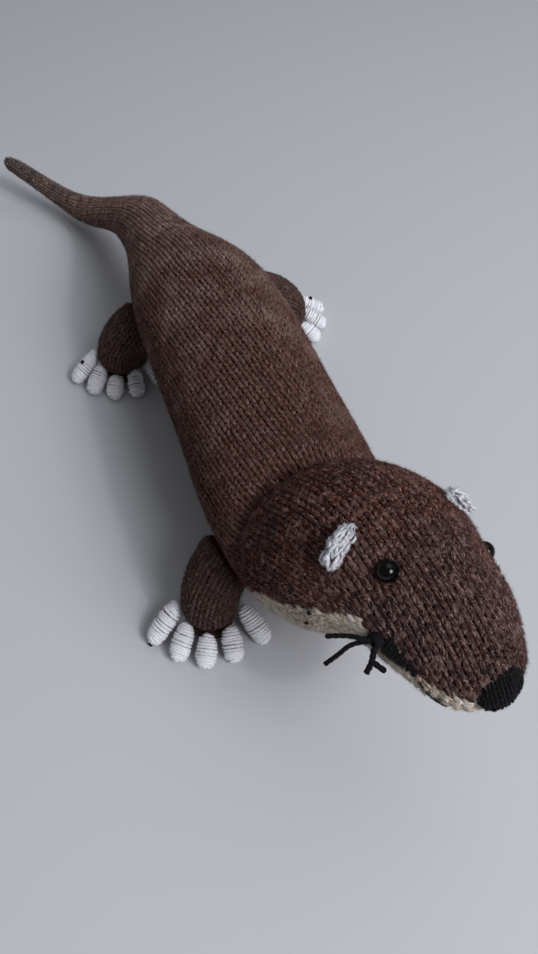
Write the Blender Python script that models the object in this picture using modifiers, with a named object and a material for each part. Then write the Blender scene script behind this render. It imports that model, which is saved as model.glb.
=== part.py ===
"""Hand-knitted toy otter, stuffed and standing on four paws.

Metres, +Z up, the nose towards -Y and the otter's left towards +X. The body is one soft tube from the
tail's tip to the muzzle, smoothed from a coarse cage of rings and parted with thin cuts into the lengths
that a person would name. Legs, paws, toes, ears, eyes, nose and yarn trim are pieces of their own, cut
back by JOIN_GAP where they meet the body.
"""
import math

import bmesh
import bpy
from mathutils import Matrix, Vector
from mathutils.bvhtree import BVHTree

MM = 0.001
COLLECTION = "knitted_otter"
DOWN = Vector((0, 0, -1))
NOSEWARD = Vector((0, -1, 0))

# Driving dimensions, in metres
JOIN_GAP = 0.3 * MM
BODY_POINTS = 12           # cage points round the body, a leg and a toe
LEG_POINTS = 8
TOE_POINTS = 5
PALM_POINTS = 16
BEAD_POINTS = 14
PAD_POINTS = 12            # round the nose and the ears
KNOT_POINTS = 9
PALM_RADIUS = 10 * MM
PALM_HEIGHT = 6.5 * MM
TOE_TIP_HEIGHT = 3.6 * MM
TOE_SHAPE = ((0.0, 2.8), (0.3, 3.9), (0.72, 4.3), (1.0, 3.0))     # share of its length, and radius in mm
EYE_RADIUS = 3.5 * MM
EYE_SUNK = 1.4 * MM        # how far a bead's middle lies under the knit
EAR_HALVES = {             # round the head, front to back, out from the head: the left ear is sewn in deeper
    1: (7.8 * MM, 2.8 * MM, 5.9 * MM),
    -1: (7.0 * MM, 2.8 * MM, 4.8 * MM),
}
EAR_SUNK = 0.6 * MM
NOSE_HALF = (9.8 * MM, 5.4 * MM, 6.8 * MM)    # across, front to back, high
NOSE_RISE = 5.2 * MM       # over the muzzle's middle line
NOSE_TURN = (28, 22)       # pitch and yaw of the way it faces, in degrees
YARN_RADIUS = 0.9 * MM     # of the black whisker yarn
KNOT_HALF = (3.0 * MM, 3.4 * MM, 2.2 * MM)    # round the muzzle, along it, out from it

# The body's middle line from the tail's tip to the nose. Each row: x, y, z of the middle in mm, pitch and
# yaw in degrees, then half the width, the height over the middle and the depth under it, in mm. Positive
# pitch lifts the nose and positive yaw turns it to the otter's left.
TAIL = (
    (-80, 221, 25, 0, 38, 2.0, 2.0, 2.0),
    (-78, 218, 25, 8, 38, 4.4, 4.4, 4.4),
    (-70, 208, 23, 8, 38, 5.4, 5.2, 5.2),
    (-57, 190, 18, 8, 36, 5.6, 5.6, 5.6),
    (-44, 172, 14, -8, 34, 7.0, 7.0, 7.0),
    (-35, 156, 17, -16, 32, 9.5, 10.2, 9.0),
    (-27, 138, 25, -26, 28, 12.0, 14.0, 12.0),
    (-19, 119, 35, -30, 24, 14.5, 16.5, 14.0),
    (-14, 100, 43, -24, 18, 15.0, 17.0, 15.0),
)
TRUNK = (
    (-12, 80, 48, -14, 12, 16, 18, 17),
    (-10, 60, 52, -8, 6, 17.5, 18.5, 22),
    (-8, 36, 54, -2, 2, 23, 22.5, 28),
    (-2, 8, 56, 0, 0, 34, 29.5, 33),
    (-1, -22, 56, 0, 0, 36, 33, 33),
    (0, -54, 56, 0, 0, 36, 33, 33),
    (0, -86, 56, 0, 0, 35.5, 33, 33),
    (0, -114, 56, 0, 0, 36.5, 33, 33),
    (0, -134, 57, 8, 1, 36, 32, 33),
)
NECK = (
    (1.5, -156, 58, 28, 4, 34.5, 30, 32),
    (5.5, -167, 66, 38, 9, 35, 34, 30),
    (9.5, -179, 75.5, 34, 13, 34.5, 34, 27),
    (14.5, -192, 84, 26, 15, 32, 31, 18.5),
)
MUZZLE = (
    (18.2, -204, 85.5, 8, 15, 26.5, 25, 15),
    (20.8, -214.5, 85, -2, 15, 24.1, 21.5, 15),
    (22.8, -224, 84, -5, 15, 21.5, 18.5, 15.2),
    (24.2, -232, 83, -6, 15, 17.8, 15.5, 13.8),
    (25.8, -239, 82.5, -6, 15, 13, 11.5, 11.6),
    (26.8, -242.5, 82.5, -6, 15, 6.5, 6.5, 7),
)
BODY = TAIL + TRUNK + NECK + MUZZLE
NAPE_ROW = len(TAIL) + len(TRUNK)
EAR_ROW = NAPE_ROW + len(NECK) + 1
TIP_ROW = len(BODY) - 2
LEAN = {EAR_ROW: 59}       # more pitch, in degrees, for a cut that leans back from the mouth to the crown
TAIL_STEP_ROW = 4
TAIL_BASE_ROW = 7
RUMP_ROW = len(TAIL)
TRUNK_ROW = RUMP_ROW + 3
SHOULDER_ROW = RUMP_ROW + 6
LENGTHS = (                # each length of the body lies between two rows' planes
    ("tail_tip", None, TAIL_STEP_ROW),
    ("tail_middle", TAIL_STEP_ROW, TAIL_BASE_ROW),
    ("tail_base", TAIL_BASE_ROW, RUMP_ROW),
    ("rump", RUMP_ROW, TRUNK_ROW),
    ("trunk", TRUNK_ROW, SHOULDER_ROW),
    ("shoulders", SHOULDER_ROW, NAPE_ROW),
    ("head", NAPE_ROW, EAR_ROW),
    ("muzzle", EAR_ROW, None),
)
# The cream underside is parted from the brown over it by one plane under each: the row that it starts
# from, its height over that row's middle in mm, and its pitch in degrees. The head is rolled to its left.
CREAM_UNDER = {"head": ("throat", NAPE_ROW, -19.5, 45), "muzzle": ("chin", EAR_ROW, -3.5, 9)}
HEAD_ROLL = 10

# Places on the head for the otter's right: how far along the body's rows, and the angle round the middle
# line in degrees, from the left side over the crown. The left side mirrors them about FACE_MIDDLE.
FACE_MIDDLE = 90 - HEAD_ROLL
EYE_PLACES = {1: (21.9, 125), -1: (22.25, 140)}     # the two beads aren't sewn on quite level
EAR_PLACES = {1: (21.1, 132), -1: (21.15, 133.5)}
KNOT_PLACE = (22.6, 167.5)
MOUTH_LINE = (             # the mouth's points, and its radius there in mm
    (22.7, 167, 2.5),
    (23.2, 167.5, 2.3),
    (23.6, 168.5, 1.8),
    (24.1, 169.5, 1.0),
)

# Strands of stiffened yarn from the knot at the right corner of the mouth: out, forward and up in mm
WHISKERS = (
    ((0, 1, 0), (3.5, -1.8, 0.5), (7, -6.7, -0.5), (12, -10.6, -2.5)),
    ((0.5, 0, -1), (3.8, -2.6, -1.8), (7.5, -4.4, -3.2), (10.6, -4.9, -6.8), (14.8, -6, -10.5)),
    ((0.5, 0, -1), (2.2, 1.2, -5.0), (3, 2.4, -8.5), (5.2, 2.8, -12.5)),
    ((2.9, 2.2, -8), (2.2, 4.2, -8.8), (0.8, 6.6, -9.8)),
)
DROOP = {1: 0.0, -1: 0.7}  # how far each side's strands hang lower, as a share of their reach

# A leg: rows of x, y, z and radius in mm down its middle line, for the otter's right
FRONT_LEG = (
    (-22, -140, 50, 12),
    (-31.5, -141, 40, 13),
    (-38.5, -143, 29, 12.8),
    (-41, -145, 18, 12.5),
    (-41, -145, 11, 11.8),
    (-41, -145, 6.8, 9.5),
)
HIND_LEG = (
    (-18, 12, 44, 12),
    (-30, 14, 38, 13.5),
    (-39, 17, 28, 14),
    (-43.5, 19, 18, 13.8),
    (-44, 20, 11, 13.6),
    (-44.5, 20.5, 6.8, 11),
)
SET_OUT_BY = 3             # the row of a leg from which on it is moved by its paw's whole shift
TOES = (
    # Outermost first. Root: angle from the middle toe in degrees, distance from the paw's middle and height
    # in mm. Tip: angle and distance.
    (-95, 13.0, 13.0, -61, 28.0),
    (-52, 11.2, 9.5, -30, 24.5),
    (0, 10.6, 8.0, 0, 23.5),
    (50, 11.2, 9.0, 32, 23.5),
    (95, 13.2, 12.0, 68, 27.0),
)
PAWS = (
    # name, leg rows, side, shift of the paw in mm, turned out in degrees
    ("front_right", FRONT_LEG, 1, (0, 0), 22),
    ("front_left", FRONT_LEG, -1, (0, 0), 22),
    ("hind_right", HIND_LEG, 1, (0, 0), 25),
    ("hind_left", HIND_LEG, -1, (7, 6), 42),
)

BROWN = "#5A3A33"
CREAM = "#CFC2AE"
GREY = "#B9B7BC"
BLACK = "#0B0A0D"


# Materials and small helpers

def linear(hex_colour):
    """Linear RGBA of an sRGB hex colour."""
    found = []
    for i in (1, 3, 5):
        c = int(hex_colour[i:i + 2], 16) / 255
        found.append(c / 12.92 if c <= 0.04045 else ((c + 0.055) / 1.055) ** 2.4)
    return (*found, 1.0)


def material(name, colour, roughness):
    made = bpy.data.materials.new(name)
    made.use_nodes = True
    shader = made.node_tree.nodes["Principled BSDF"]
    shader.inputs["Base Color"].default_value = linear(colour)
    shader.inputs["Roughness"].default_value = roughness
    shader.inputs["Metallic"].default_value = 0.0
    return made


def clear_scene():
    for old in list(bpy.data.objects):
        bpy.data.objects.remove(old, do_unlink=True)


def new_collection(name):
    made = bpy.data.collections.new(name)
    bpy.context.scene.collection.children.link(made)
    return made


def object_of(bm, name, collection):
    """A new object that takes over the bmesh."""
    bm.normal_update()
    bmesh.ops.recalc_face_normals(bm, faces=bm.faces)
    mesh = bpy.data.meshes.new(name)
    bm.to_mesh(mesh)
    bm.free()
    mesh.shade_smooth()
    made = bpy.data.objects.new(name, mesh)
    collection.objects.link(made)
    return made


def evaluated_mesh(source):
    """The mesh that an object's modifiers give."""
    bpy.context.view_layer.update()
    graph = bpy.context.evaluated_depsgraph_get()
    return bpy.data.meshes.new_from_object(source.evaluated_get(graph))


def finished(made, finish):
    made.data.materials.clear()
    made.data.materials.append(finish)
    return made


def helper(made):
    """Marks an object as a cutter that isn't part of the toy."""
    made.hide_render = True
    made.display_type = "WIRE"
    return made


def boolean(target, other, operation):
    step = target.modifiers.new(f"{operation.title()} {other.name}", "BOOLEAN")
    step.operation = operation
    step.object = other


def proud(made, grown_body, finish):
    """Keeps what stands out of the body."""
    boolean(made, grown_body, "DIFFERENCE")
    return finished(made, finish)


# Soft tubes

def turned(pitch, yaw):
    """Rotation that takes the head's direction, -Y, to this pitch and yaw in degrees."""
    return (Matrix.Rotation(math.radians(yaw), 3, "Z") @ Matrix.Rotation(-math.radians(pitch), 3, "X"))


def aimed(direction):
    """Rotation that takes -Y to the direction."""
    return direction.to_track_quat("-Y", "Z").to_matrix()


class Ring:
    """One ring of a cage: an egg-shaped outline square to the tube's middle line."""

    def __init__(self, centre, turn, side, up, down):
        self.centre = Vector(centre)
        self.turn = turn
        self.side = side
        self.up = up
        self.down = down
        self.normal = turn @ NOSEWARD

    def at(self, across, rise):
        """The point this far across and up in the ring's own plane."""
        return self.centre + self.turn @ Vector((across, 0, rise))

    def cage(self, count, grow, end=0):
        """Cage points, standing out by the share that the smoothing takes away. The tube's end is -1 or 1."""
        step = 2 * math.pi / count
        stand_out = 6 / (4 + 2 * math.cos(step))
        found = []
        for i in range(count):
            across, rise = math.cos(i * step), math.sin(i * step)
            half = self.up if rise > 0 else self.down
            point = self.at((self.side + grow) * across * stand_out, (half + grow) * rise * stand_out)
            found.append(point + self.normal * grow * end)
        return found


def body_ring(row):
    x, y, z, pitch, yaw, side, up, down = row
    return Ring((x * MM, y * MM, z * MM), turned(pitch, yaw), side * MM, up * MM, down * MM)


def tube(name, rings, count, collection, grow=0.0):
    """A closed tube through the rings, rounded by a Subdivision Surface."""
    bm = bmesh.new()
    loops = []
    for i, ring in enumerate(rings):
        end = (i == len(rings) - 1) - (i == 0)
        verts = [bm.verts.new(p) for p in ring.cage(count, grow, end)]
        edges = [bm.edges.new((verts[i - 1], verts[i])) for i in range(count)]
        loops.append((verts, edges))
    for (_, first), (_, second) in zip(loops, loops[1:]):
        bmesh.ops.bridge_loops(bm, edges=first + second)
    for verts, _ in (loops[0], loops[-1]):
        bm.faces.new(verts)
    made = object_of(bm, name, collection)
    rounded = made.modifiers.new("Rounded", "SUBSURF")
    rounded.levels = rounded.render_levels = 1
    return made


def keep_side(bm, point, normal):
    """Cuts the closed mesh by a plane, keeps what the normal points to, and closes the cut."""
    geometry = bm.verts[:] + bm.edges[:] + bm.faces[:]
    bmesh.ops.bisect_plane(bm, geom=geometry, dist=1e-7, plane_co=point, plane_no=normal, clear_inner=True)
    open_edges = [edge for edge in bm.edges if edge.is_boundary]
    bmesh.ops.holes_fill(bm, edges=open_edges, sides=0)


def cut_piece(source, name, planes, collection, finish):
    """A copy of the source mesh on the far side of each (point, normal), half a gap short of the plane."""
    bm = bmesh.new()
    bm.from_mesh(source)
    for point, normal in planes:
        keep_side(bm, point + normal * JOIN_GAP / 2, normal)
    return finished(object_of(bm, name, collection), finish)


# The body's lengths

def row_plane(row):
    """Middle and noseward normal of the cut at this row."""
    pitch, yaw = BODY[row][3:5]
    return body_ring(BODY[row]).centre, turned(pitch + LEAN.get(row, 0), yaw) @ NOSEWARD


def body_lengths(whole, parts, brown, cream):
    """Parts the whole body at rows' planes, and the head and muzzle from their cream undersides."""
    for name, first, last in LENGTHS:
        planes = []
        if first is not None:
            planes.append(row_plane(first))
        if last is not None:
            point, normal = row_plane(last)
            planes.append((point, -normal))
        if name in CREAM_UNDER:
            under, row, rise, pitch = CREAM_UNDER[name]
            ring = body_ring(BODY[row])
            level = ring.centre - DOWN * rise * MM
            normal = turned(pitch, BODY[row][4]) @ Matrix.Rotation(math.radians(HEAD_ROLL), 3, "Y") @ -DOWN
            cut_piece(whole, under, [*planes, (level, -normal)], parts, cream)
            planes.append((level, normal))
        cut_piece(whole, name, planes, parts, brown)


# Legs, paws and toes

def leg_rings(rows, side, shift):
    """Rings down a leg, mirrored for the left by side -1."""
    centres = []
    for i, (x, y, z, _) in enumerate(rows):
        share = min(1, i / SET_OUT_BY)
        centres.append(Vector(((x - shift[0] * share) * side, y + shift[1] * share, z)) * MM)
    rings = []
    for i, (centre, row) in enumerate(zip(centres, rows)):
        last = i == len(rows) - 1
        direction = DOWN if last else (centres[i + 1] - centres[max(i - 1, 0)]).normalized()
        radius = row[3] * MM
        rings.append(Ring(centre, aimed(direction), radius, radius, radius))
    return rings


def palm(name, middle, parts, brown):
    """The flat-bottomed pad under a leg, which the toes are sewn round."""
    bm = bmesh.new()
    place = Matrix.Translation(middle + Vector((0, 0, PALM_HEIGHT / 2)))
    bmesh.ops.create_cone(bm, cap_ends=True, segments=PALM_POINTS, radius1=PALM_RADIUS, radius2=PALM_RADIUS,
                          depth=PALM_HEIGHT, matrix=place)
    return finished(object_of(bm, name, parts), brown)


def toe(name, root, tip, parts, grey):
    """A stuffed cord toe from its root to its blunt tip, just over the floor and never under it."""
    along = tip - root
    turn = aimed(Vector((along.x, along.y, 0)).normalized())
    rings = []
    for share, radius in TOE_SHAPE:
        rings.append(Ring(root + along * share, turn, radius * MM, radius * MM, radius * MM))
    whole = tube(name + "_whole", rings, TOE_POINTS, parts)
    made = cut_piece(evaluated_mesh(whole), name, [(DOWN * JOIN_GAP / 2, -DOWN)], parts, grey)
    bpy.data.objects.remove(whole, do_unlink=True)
    return made


def paws_and_legs(grown_body, parts, cutters, brown, grey):
    for name, rows, side, shift, turned_out in PAWS:
        rings = leg_rings(rows, side, shift)
        proud(tube(f"leg_{name}", rings, LEG_POINTS, parts), grown_body, brown)
        room = helper(tube(f"leg_{name}_room", rings, LEG_POINTS, cutters, grow=JOIN_GAP))
        ankle = rings[-1].centre
        middle = Vector((ankle.x, ankle.y, 0))
        boolean(palm(f"palm_{name}", middle, parts, brown), room, "DIFFERENCE")

        def out(angle, reach, height):
            """A point this far out from the paw's middle, at an angle from its middle toe."""
            turn = math.radians(turned_out - angle)
            return middle + Vector((-side * math.sin(turn) * reach, -math.cos(turn) * reach, height))

        for i, (root_angle, root_reach, root_height, tip_angle, tip_reach) in enumerate(TOES):
            root = out(root_angle, root_reach * MM, root_height * MM)
            tip = out(tip_angle, tip_reach * MM, TOE_TIP_HEIGHT)
            boolean(toe(f"toe_{name}_{i + 1}", root, tip, parts, grey), room, "DIFFERENCE")


# Face and trim

def mirrored(angle, side):
    return angle if side > 0 else 2 * FACE_MIDDLE - angle


def seat(skin, place, side):
    """Matrix at a place on the knit: X runs round the body, Y towards the nose and Z out of the surface."""
    along, angle = place[:2]
    row = int(along)
    share = along - row
    ring = body_ring([a + (b - a) * share for a, b in zip(BODY[row], BODY[row + 1])])
    turn = math.radians(mirrored(angle, side))
    outward = ring.turn @ Vector((math.cos(turn), 0, math.sin(turn)))
    point, out, _, _ = skin.ray_cast(ring.centre, outward)
    round_body = ring.normal.cross(out).normalized()
    made = Matrix((round_body, out.cross(round_body), out)).transposed().to_4x4()
    made.translation = point
    return made


def ellipsoid(name, half, place, collection, count):
    bm = bmesh.new()
    bmesh.ops.create_uvsphere(bm, u_segments=count, v_segments=count // 2, radius=1.0)
    bm.transform(place @ Matrix.Diagonal((*half, 1.0)))
    return object_of(bm, name, collection)


def eye(name, skin, side, grown_body, parts, black):
    place = seat(skin, EYE_PLACES[side], side) @ Matrix.Translation((0, 0, -EYE_SUNK))
    proud(ellipsoid(name, (EYE_RADIUS,) * 3, place, parts, BEAD_POINTS), grown_body, black)


def ear(name, skin, side, grown_body, parts, grey):
    place = seat(skin, EAR_PLACES[side], side) @ Matrix.Translation((0, 0, -EAR_SUNK))
    proud(ellipsoid(name, EAR_HALVES[side], place, parts, PAD_POINTS), grown_body, grey)


def nose(grown_body, parts, black):
    place = turned(*NOSE_TURN).to_4x4()
    place.translation = body_ring(BODY[TIP_ROW]).at(0, NOSE_RISE)
    proud(ellipsoid("nose", NOSE_HALF, place, parts, PAD_POINTS), grown_body, black)


def strand(name, points, collection):
    """A length of yarn through the points, as a closed mesh."""
    curve = bpy.data.curves.new(name, "CURVE")
    curve.dimensions = "3D"
    curve.bevel_depth = YARN_RADIUS
    curve.bevel_resolution = 1
    curve.resolution_u = 2
    curve.use_fill_caps = True
    spline = curve.splines.new("NURBS")
    spline.points.add(len(points) - 1)
    for target, point in zip(spline.points, points):
        target.co = (*point, 1.0)
    spline.order_u = 3
    spline.use_endpoint_u = True
    drawn = bpy.data.objects.new(name, curve)
    collection.objects.link(drawn)
    bm = bmesh.new()
    bm.from_mesh(evaluated_mesh(drawn))
    bmesh.ops.remove_doubles(bm, verts=bm.verts, dist=1e-6)
    bpy.data.objects.remove(drawn, do_unlink=True)
    return helper(object_of(bm, name, collection))


def whiskers(name, skin, side, grown_body, parts, cutters, black):
    """The knot at a corner of the mouth with its strands, and the wider knot that the mouth is cut by."""
    place = seat(skin, KNOT_PLACE, side)
    made = ellipsoid(name, KNOT_HALF, place, parts, KNOT_POINTS)
    level = turned(0, BODY[EAR_ROW][4])
    for i, strand_points in enumerate(WHISKERS):
        points = []
        for out, forward, rise in strand_points:
            hung = rise - out * DROOP[side]
            points.append(place.translation + level @ Vector((-side * out, -forward, hung)) * MM)
        boolean(made, strand(f"{name}_strand_{i + 1}", points, cutters), "UNION")
    proud(made, grown_body, black)
    wider = [half + JOIN_GAP for half in KNOT_HALF]
    return helper(ellipsoid(name + "_room", wider, place, cutters, KNOT_POINTS))


def mouth(name, skin, side, room, grown_body, parts, black):
    """The embroidered line of the mouth, thick at its corner and thin at its front."""
    places = [seat(skin, place, side).translation for place in MOUTH_LINE]
    rings = []
    for i, (_, _, radius) in enumerate(MOUTH_LINE):
        direction = (places[min(i + 1, len(places) - 1)] - places[max(i - 1, 0)]).normalized()
        rings.append(Ring(places[i], aimed(direction), radius * MM, radius * MM, radius * MM))
    made = proud(tube(name, rings, TOE_POINTS, parts), grown_body, black)
    boolean(made, room, "DIFFERENCE")


def face(skin, grown_body, parts, cutters, grey, black):
    for name, side in (("right", 1), ("left", -1)):
        eye(f"eye_{name}", skin, side, grown_body, parts, black)
        ear(f"ear_{name}", skin, side, grown_body, parts, grey)
        room = whiskers(f"whiskers_{name}", skin, side, grown_body, parts, cutters, black)
        mouth(f"mouth_{name}", skin, side, room, grown_body, parts, black)
    nose(grown_body, parts, black)


def stand_over_origin(parts, cutters):
    """Moves everything so that the origin is under the middle of the toy's box."""
    corners = []
    for piece in parts.objects:
        corners += [vert.co for vert in evaluated_mesh(piece).vertices]
    middle = []
    for axis in range(2):
        values = [corner[axis] for corner in corners]
        middle.append((min(values) + max(values)) / 2)
    for piece in [*parts.objects, *cutters.objects]:
        piece.location -= Vector((*middle, 0))


def main():
    clear_scene()
    parts = new_collection(COLLECTION)
    cutters = new_collection("cutters")
    brown = material("brown_wool", BROWN, 0.95)
    cream = material("cream_wool", CREAM, 0.95)
    grey = material("silver_grey_yarn", GREY, 0.8)
    black = material("black_wool", BLACK, 0.7)
    rings = [body_ring(row) for row in BODY]
    whole = helper(tube("body_whole", rings, BODY_POINTS, cutters))
    grown_body = helper(tube("body_grown", rings, BODY_POINTS, cutters, grow=JOIN_GAP))
    skin_mesh = evaluated_mesh(whole)
    skin = BVHTree.FromPolygons([v.co for v in skin_mesh.vertices], [p.vertices for p in skin_mesh.polygons])
    body_lengths(skin_mesh, parts, brown, cream)
    paws_and_legs(grown_body, parts, cutters, brown, grey)
    face(skin, grown_body, parts, cutters, grey, black)
    stand_over_origin(parts, cutters)


main()
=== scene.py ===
"""Looks of a hand-knitted stuffed toy otter: wool stitches, wound yarn toes, bead eyes and yarn trim.

Metres, +Z up, the nose towards -Y. Every surface is laid on the frame's own solids: a middle line or an
axis is found from them, rays give the distance out to them, and each stitch is a small closed strand.
"""
import math

import bmesh
import bpy
import numpy as np
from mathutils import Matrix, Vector
from mathutils.bvhtree import BVHTree


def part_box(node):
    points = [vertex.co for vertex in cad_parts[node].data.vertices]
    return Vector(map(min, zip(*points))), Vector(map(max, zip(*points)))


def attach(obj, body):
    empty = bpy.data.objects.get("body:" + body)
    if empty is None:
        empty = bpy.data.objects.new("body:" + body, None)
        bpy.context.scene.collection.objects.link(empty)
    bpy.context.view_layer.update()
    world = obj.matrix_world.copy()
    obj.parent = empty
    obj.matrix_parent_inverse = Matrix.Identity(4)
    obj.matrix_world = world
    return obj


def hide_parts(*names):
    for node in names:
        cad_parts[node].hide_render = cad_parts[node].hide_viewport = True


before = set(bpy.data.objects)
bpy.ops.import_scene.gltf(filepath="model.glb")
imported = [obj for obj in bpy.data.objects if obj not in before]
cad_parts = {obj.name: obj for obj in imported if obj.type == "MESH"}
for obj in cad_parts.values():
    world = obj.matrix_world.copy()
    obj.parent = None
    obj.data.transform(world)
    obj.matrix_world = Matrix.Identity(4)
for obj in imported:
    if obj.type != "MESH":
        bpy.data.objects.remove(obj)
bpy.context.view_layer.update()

MM = 0.001
UP = np.array((0.0, 0.0, 1.0))
AHEAD = np.array((0.0, -1.0, 0.0))

# The knitting, in metres
WALE = 4.5 * MM            # width of a stitch: two legs of yarn side by side
COURSE = 3.0 * MM          # height of a row
SKIN_DEPTH = 1.25 * MM     # stuffed lining under the crests of the yarn
ANGLES = 120               # rays round a tube
STATION = 1.5 * MM         # between the rings of rays along a tube
FACET_BLUR = (2.0, 1.2)    # rays round a ring, and rings, that a solid's facets are smoothed over
FIBRES_PER_STITCH = 28
HEAD_FIBRES = 44           # on each stitch of the head, which is brushed up softer

# One leg of a V stitch from its foot to its head: place along the column in rows, place across in widths
# of the stitch, depth of its middle under the crests, half its width and half its thickness in mm
LEG_ALONG = (-0.80, -0.52, -0.12, 0.30, 0.68, 0.90)
LEG_ACROSS = (0.12, 0.15, 0.21, 0.29, 0.35, 0.38)
LEG_DEPTH = (1.5, 1.05, 0.62, 0.56, 0.9, 1.4)
LEG_WIDE = (0.0, 0.68, 1.02, 1.02, 0.70, 0.0)
LEG_THICK = (0.0, 0.48, 0.66, 0.66, 0.50, 0.0)
SIDES = 5                  # round a strand
BODY_STITCH = (WALE, COURSE)
EAR_STITCH = (3.3 * MM, 2.1 * MM)
NOSE_STITCH = (2.5 * MM, 1.5 * MM)

# Straight axes that the two halves of the head are knitted round: pitch and yaw in degrees
HEAD_AXIS = (44, 12)
MUZZLE_AXIS = (-4, 9)
TRUNK_SPIRAL = 0.8         # turns that the trunk's columns swing round it in a metre
SPIRAL_FROM = (0.24, 0.03)  # metres from the tail's tip to where they start, and that they ease in over
KEPT_COLUMNS = (0.25, 0.75)  # the columns over and under a tube run on, and those between are decreased
KEPT_REACH = (0.31, 0.19)  # how far round, in turns, each of them is from the decreases

# Each leg's line, as places from the middle of its paw, for the otter's right: x, y, z in mm
LEG_LINES = {
    "front": ((0, 0, 3), (0, 0, 18), (2.5, 2, 29), (9.5, 4, 40), (19, 5, 50)),
    "hind": ((0, 0, 3), (0, 0, 18), (5, -3, 28), (15, -7, 38), (27, -9, 44)),
}
PAWS = ("front_right", "front_left", "hind_right", "hind_left")

BODY_NODES = ("tail_tip", "tail_middle", "tail_base", "rump", "trunk", "shoulders", "head", "throat",
              "muzzle", "chin")
TRUNK_NODES = BODY_NODES[:6]
HEAD_NODES = ("head", "throat")
MUZZLE_NODES = ("muzzle", "chin")
CREAM_NODES = ("throat", "chin")

# Trim, in metres
TOE_WIND = 1.4 * MM        # between the turns of yarn round a toe
TOE_YARN = 0.76 * MM       # half the thickness of that yarn
TOE_GROW = 0.8 * MM        # how far the winding stands out of a toe's solid
TOE_ROUND = 3.6 * MM       # where a toe starts to close to its tip
NOSE_TURN = (28, 22)       # pitch and yaw of the way the nose faces, in degrees
NOSE_DEEP = 5.6 * MM       # from the nose's middle to its front
# Half an ear's thickness, and how far it stands out from the head
EAR_HALF = {"ear_right": (3.4 * MM, 6.2 * MM), "ear_left": (3.2 * MM, 5.0 * MM)}
# Stitches on the right side of the face, from the nose's middle: out, forward and up in mm
CHIN_LINE = ((19.3, -14.1, -1.0), (18.4, -10.7, -4.2), (17.4, -9.2, -6.1), (16.5, -7.4, -6.8),
             (14.7, -4.6, -8.0))
SPECKS = ((31.5, -53.2, -6.2), (31.2, -54.6, -15.9))
# Reach and depth of the dent that each bead is sewn into
EYE_DENT = {"eye_right": (6.0 * MM, 2.3 * MM), "eye_left": (4.5 * MM, 1.0 * MM)}
# From each eye's middle to the knot at the corner of the mouth, in mm
KNOT_FROM_EYE = {"right": (-7.2, -13.6, -14.2), "left": (2.8, -4.5, -11.4)}
# Strands of stiffened yarn from the knot at the right corner of the mouth: out, forward and up in mm
WHISKERS = (
    ((0, 1, 0), (3.5, -1.8, 0.5), (7, -6.7, -0.5), (12, -10.6, -2.5)),
    ((0.5, 0, -1), (3.8, -2.6, -1.8), (7.5, -4.4, -3.2), (10.6, -4.9, -6.8), (14.8, -6, -10.5)),
    ((0.5, 0, -1), (2.2, 1.2, -5.0), (3, 2.4, -8.5), (5.2, 2.8, -12.5)),
    ((2.9, 2.2, -8), (2.2, 4.2, -8.8), (0.8, 6.6, -9.8)),
)
DROOP = {"right": 0.0, "left": 0.7}  # how far each side's strands hang lower, as a share of their reach
WHISKER_YARNS = (0.85 * MM, 0.85 * MM, 1.05 * MM, 1.05 * MM, 0.95 * MM)   # each strand's and the knot's
WHISKER_PLY = 2.2 * MM     # along one turn of its plies
MUZZLE_YAW = 15            # of the way that the face's own places run forward, in degrees

# Camera, from the middle of the right front paw, in metres and degrees
CAMERA_FROM_PAW = (-0.0304, -0.1694)
CAMERA_HEIGHT = 0.310
CAMERA_DOWN = 51
CAMERA_HEADING = 18.5
LENS = 30.19


# Small helpers

def unit(vectors):
    length = np.linalg.norm(vectors, axis=-1, keepdims=True)
    return vectors / np.maximum(length, 1e-12)


def aimed(pitch, yaw):
    """The direction that faces -Y, lifted by the pitch and turned to the otter's left by the yaw."""
    pitch, yaw = math.radians(pitch), math.radians(yaw)
    return np.array((math.sin(yaw) * math.cos(pitch), -math.cos(yaw) * math.cos(pitch), math.sin(pitch)))


def blurred(values, sigma, axis=0, wrap=False):
    """The values averaged along an axis by a bell of this many samples. Open ends keep their slope."""
    reach = int(3 * sigma) + 1
    weights = np.exp(-0.5 * (np.arange(-reach, reach + 1) / sigma) ** 2)
    edges = [(0, 0)] * values.ndim
    edges[axis] = (reach, reach)
    if wrap:
        wide = np.pad(values, edges, mode="wrap")
    else:
        wide = np.pad(values, edges, mode="reflect", reflect_type="odd")
    total = 0
    for i, weight in enumerate(weights):
        total = total + weight * np.take(wide, range(i, i + values.shape[axis]), axis)
    return total / weights.sum()


def resampled(points, step):
    """A line's points, this far apart along it."""
    lengths = np.linalg.norm(np.diff(points, axis=0), axis=1)
    along = np.concatenate(([0], np.cumsum(lengths)))
    wanted = np.arange(0, along[-1], step)
    return np.stack([np.interp(wanted, along, points[:, i]) for i in range(3)], axis=1)


def mesh_arrays(obj):
    """An object's vertices and triangles as arrays."""
    mesh = obj.data
    mesh.calc_loop_triangles()
    verts = np.empty(len(mesh.vertices) * 3, np.float32)
    mesh.vertices.foreach_get("co", verts)
    tris = np.empty(len(mesh.loop_triangles) * 3, np.int32)
    mesh.loop_triangles.foreach_get("vertices", tris)
    return verts.reshape(-1, 3).astype(float), tris.reshape(-1, 3)


def node_mesh(name):
    return mesh_arrays(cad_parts[name])


def joined(names):
    """The vertices and triangles of several CAD nodes, and the node that each triangle is from."""
    verts, tris, owner, count = [], [], [], 0
    for i, name in enumerate(names):
        v, t = node_mesh(name)
        verts.append(v)
        tris.append(t + count)
        owner.append(np.full(len(t), i))
        count += len(v)
    return np.concatenate(verts), np.concatenate(tris), np.concatenate(owner)


def tree_of(verts, tris):
    return BVHTree.FromPolygons(verts.tolist(), tris.tolist())


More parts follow.
